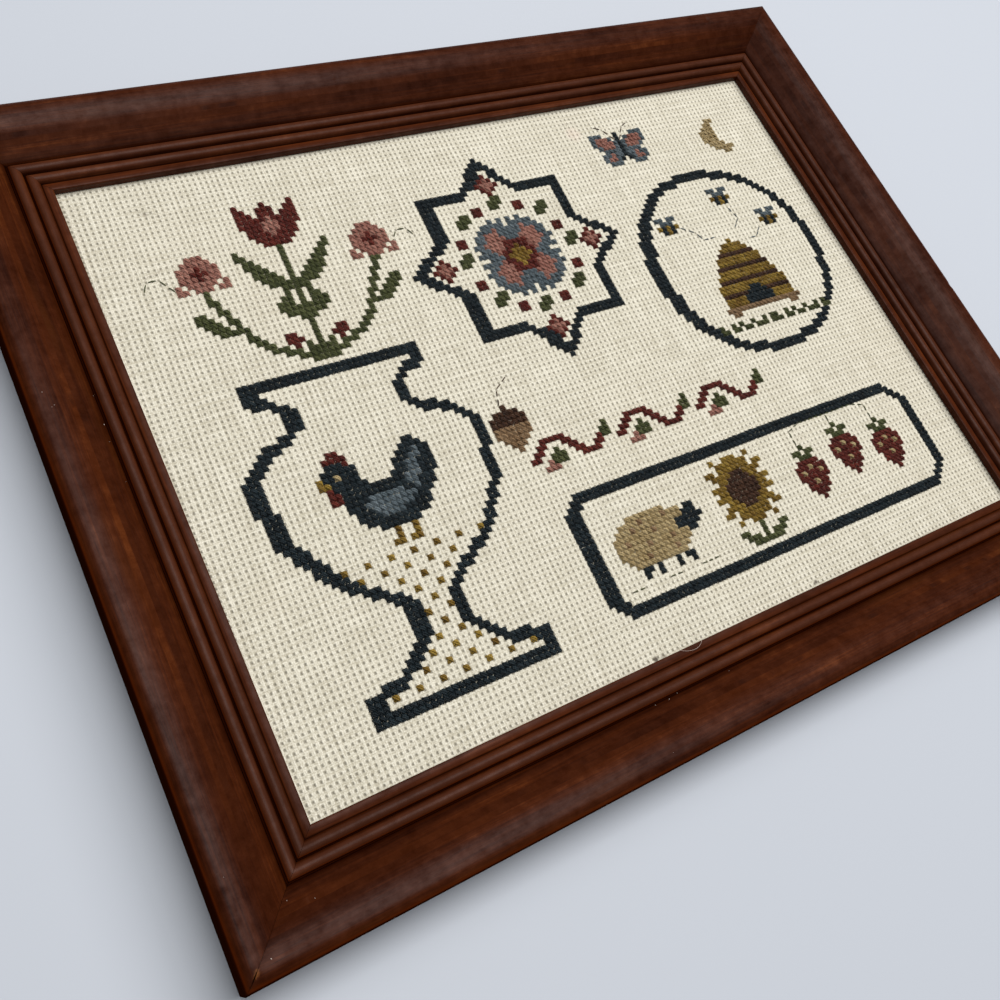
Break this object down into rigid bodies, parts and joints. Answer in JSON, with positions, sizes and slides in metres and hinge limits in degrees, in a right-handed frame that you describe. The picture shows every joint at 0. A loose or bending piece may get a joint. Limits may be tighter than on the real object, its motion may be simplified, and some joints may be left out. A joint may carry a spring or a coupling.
{
  "type": "framed cross stitch sampler",
  "caption": "Taut evenweave cloth worked in counted cross stitch, mounted behind the sight edge of a mitred moulded wooden frame that lies flat.",
  "frame": {"origin": "on the surface that the frame lies on, below the middle of the picture", "axes": "+X along the long rails towards the picture's right side, +Y towards its upper rail, +Z out of its face"},
  "size_m": [0.3226, 0.2506, 0.017],
  "materials": {
    "stained_wood": "satin varnish over mahogany stain",
    "evenweave": "matte block weave cotton",
    "card": "plain uncoated board",
    "thread_navy": "stranded cotton",
    "thread_red": "stranded cotton",
    "thread_coral": "stranded cotton",
    "thread_gold": "stranded cotton",
    "thread_straw": "stranded cotton",
    "thread_green": "stranded cotton",
    "thread_slate": "stranded cotton",
    "thread_brown": "stranded cotton",
    "thread_tan": "stranded cotton"
  },
  "bodies": {
    "root": {"rail_lower": "stained_wood", "rail_upper": "stained_wood", "rail_left": "stained_wood", "rail_right": "stained_wood", "cloth": "evenweave", "board": "card"}
  },
  "joints": []
}
